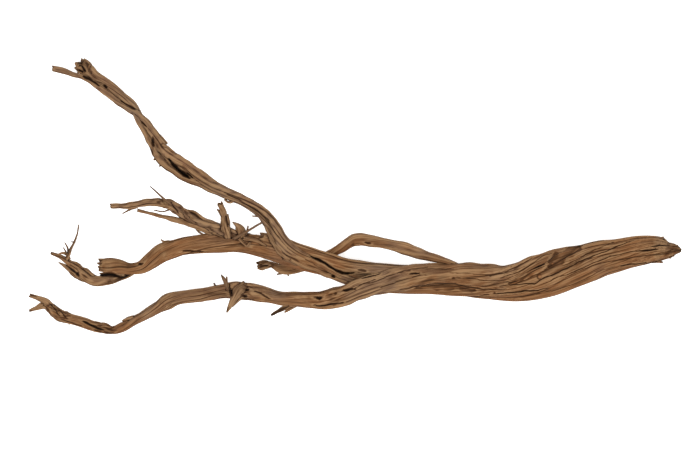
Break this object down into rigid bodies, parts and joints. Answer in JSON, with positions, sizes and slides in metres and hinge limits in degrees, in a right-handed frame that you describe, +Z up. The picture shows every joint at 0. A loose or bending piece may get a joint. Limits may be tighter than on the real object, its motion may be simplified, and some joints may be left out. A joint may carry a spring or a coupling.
{
  "type": "driftwood branch",
  "caption": "Weathered twisted vine driftwood that lies flat: a thick tapering trunk forking into slender limbs with broken stubs and twigs.",
  "frame": {"origin": "centre of the bounding box's bottom face, on the surface that the piece lies on", "axes": "+X from the forked limbs towards the trunk's blunt end, +Z up from the surface that it lies on, +Y towards the tip of the longest upper limb"},
  "size_m": [0.915, 0.3877, 0.1409],
  "materials": {
    "weathered_wood": "matt, dry, sand-worn grain with dark cracks"
  },
  "bodies": {
    "root": {"driftwood": "weathered_wood"}
  },
  "joints": []
}
